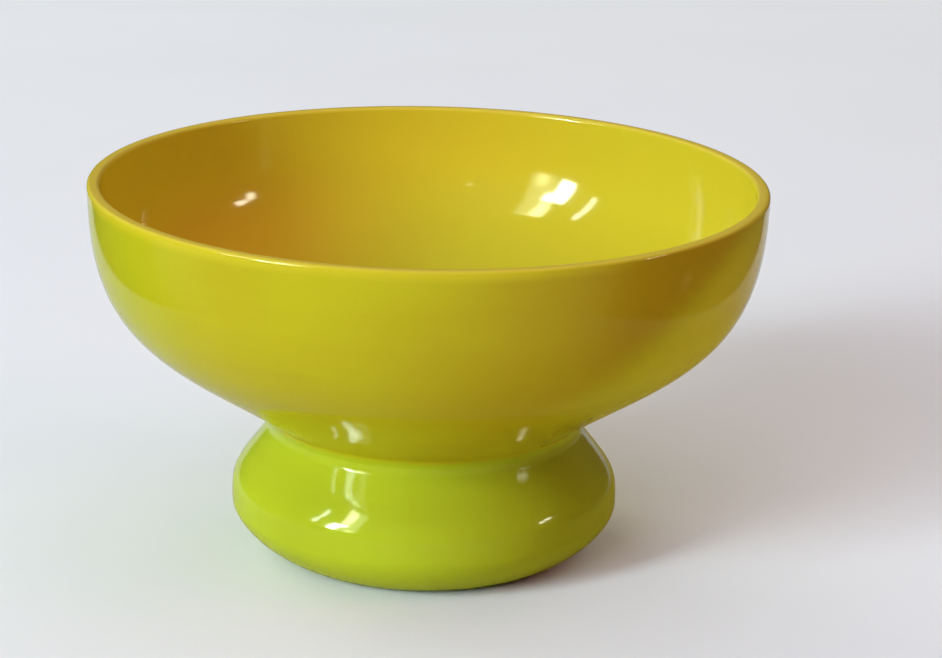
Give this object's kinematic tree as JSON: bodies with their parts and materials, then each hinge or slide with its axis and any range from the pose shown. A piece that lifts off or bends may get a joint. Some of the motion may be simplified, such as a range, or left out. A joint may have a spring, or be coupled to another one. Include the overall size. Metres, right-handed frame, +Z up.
{
  "type": "glass bowl",
  "caption": "Round, deep footed bowl of blown cased glass: opaque yellow inside, lime-tinted outside, sealed at a sharp waist to a squat hollow foot",
  "frame": {"origin": "middle of the flat resting ring under the foot, in the plane of the table", "axes": "+Z up along the axis of revolution; X and Y are level and equal, because the bowl is round"},
  "size_m": [0.22, 0.22, 0.124],
  "materials": {
    "yellow_glass": "opaque yellow soda-lime glass, fire-polished and glossy",
    "bowl_tinted_glass": "thin lime-tinted glass over the opaque yellow layer, reads as glossy yellow-green",
    "wafer_glass": "opaque yellow glass, fire-polished, hidden inside the waist",
    "foot_yellow_glass": "opaque yellow glass under the lime layer of the foot",
    "foot_lime_glass": "thicker lime-tinted glass, reads as glossy lime; resting ring and pontil dish ground and polished"
  },
  "bodies": {
    "root": {"bowl_lining": "yellow_glass", "bowl_casing": "bowl_tinted_glass", "joining_wafer": "wafer_glass", "foot_core": "foot_yellow_glass", "foot_casing": "foot_lime_glass"}
  },
  "joints": []
}
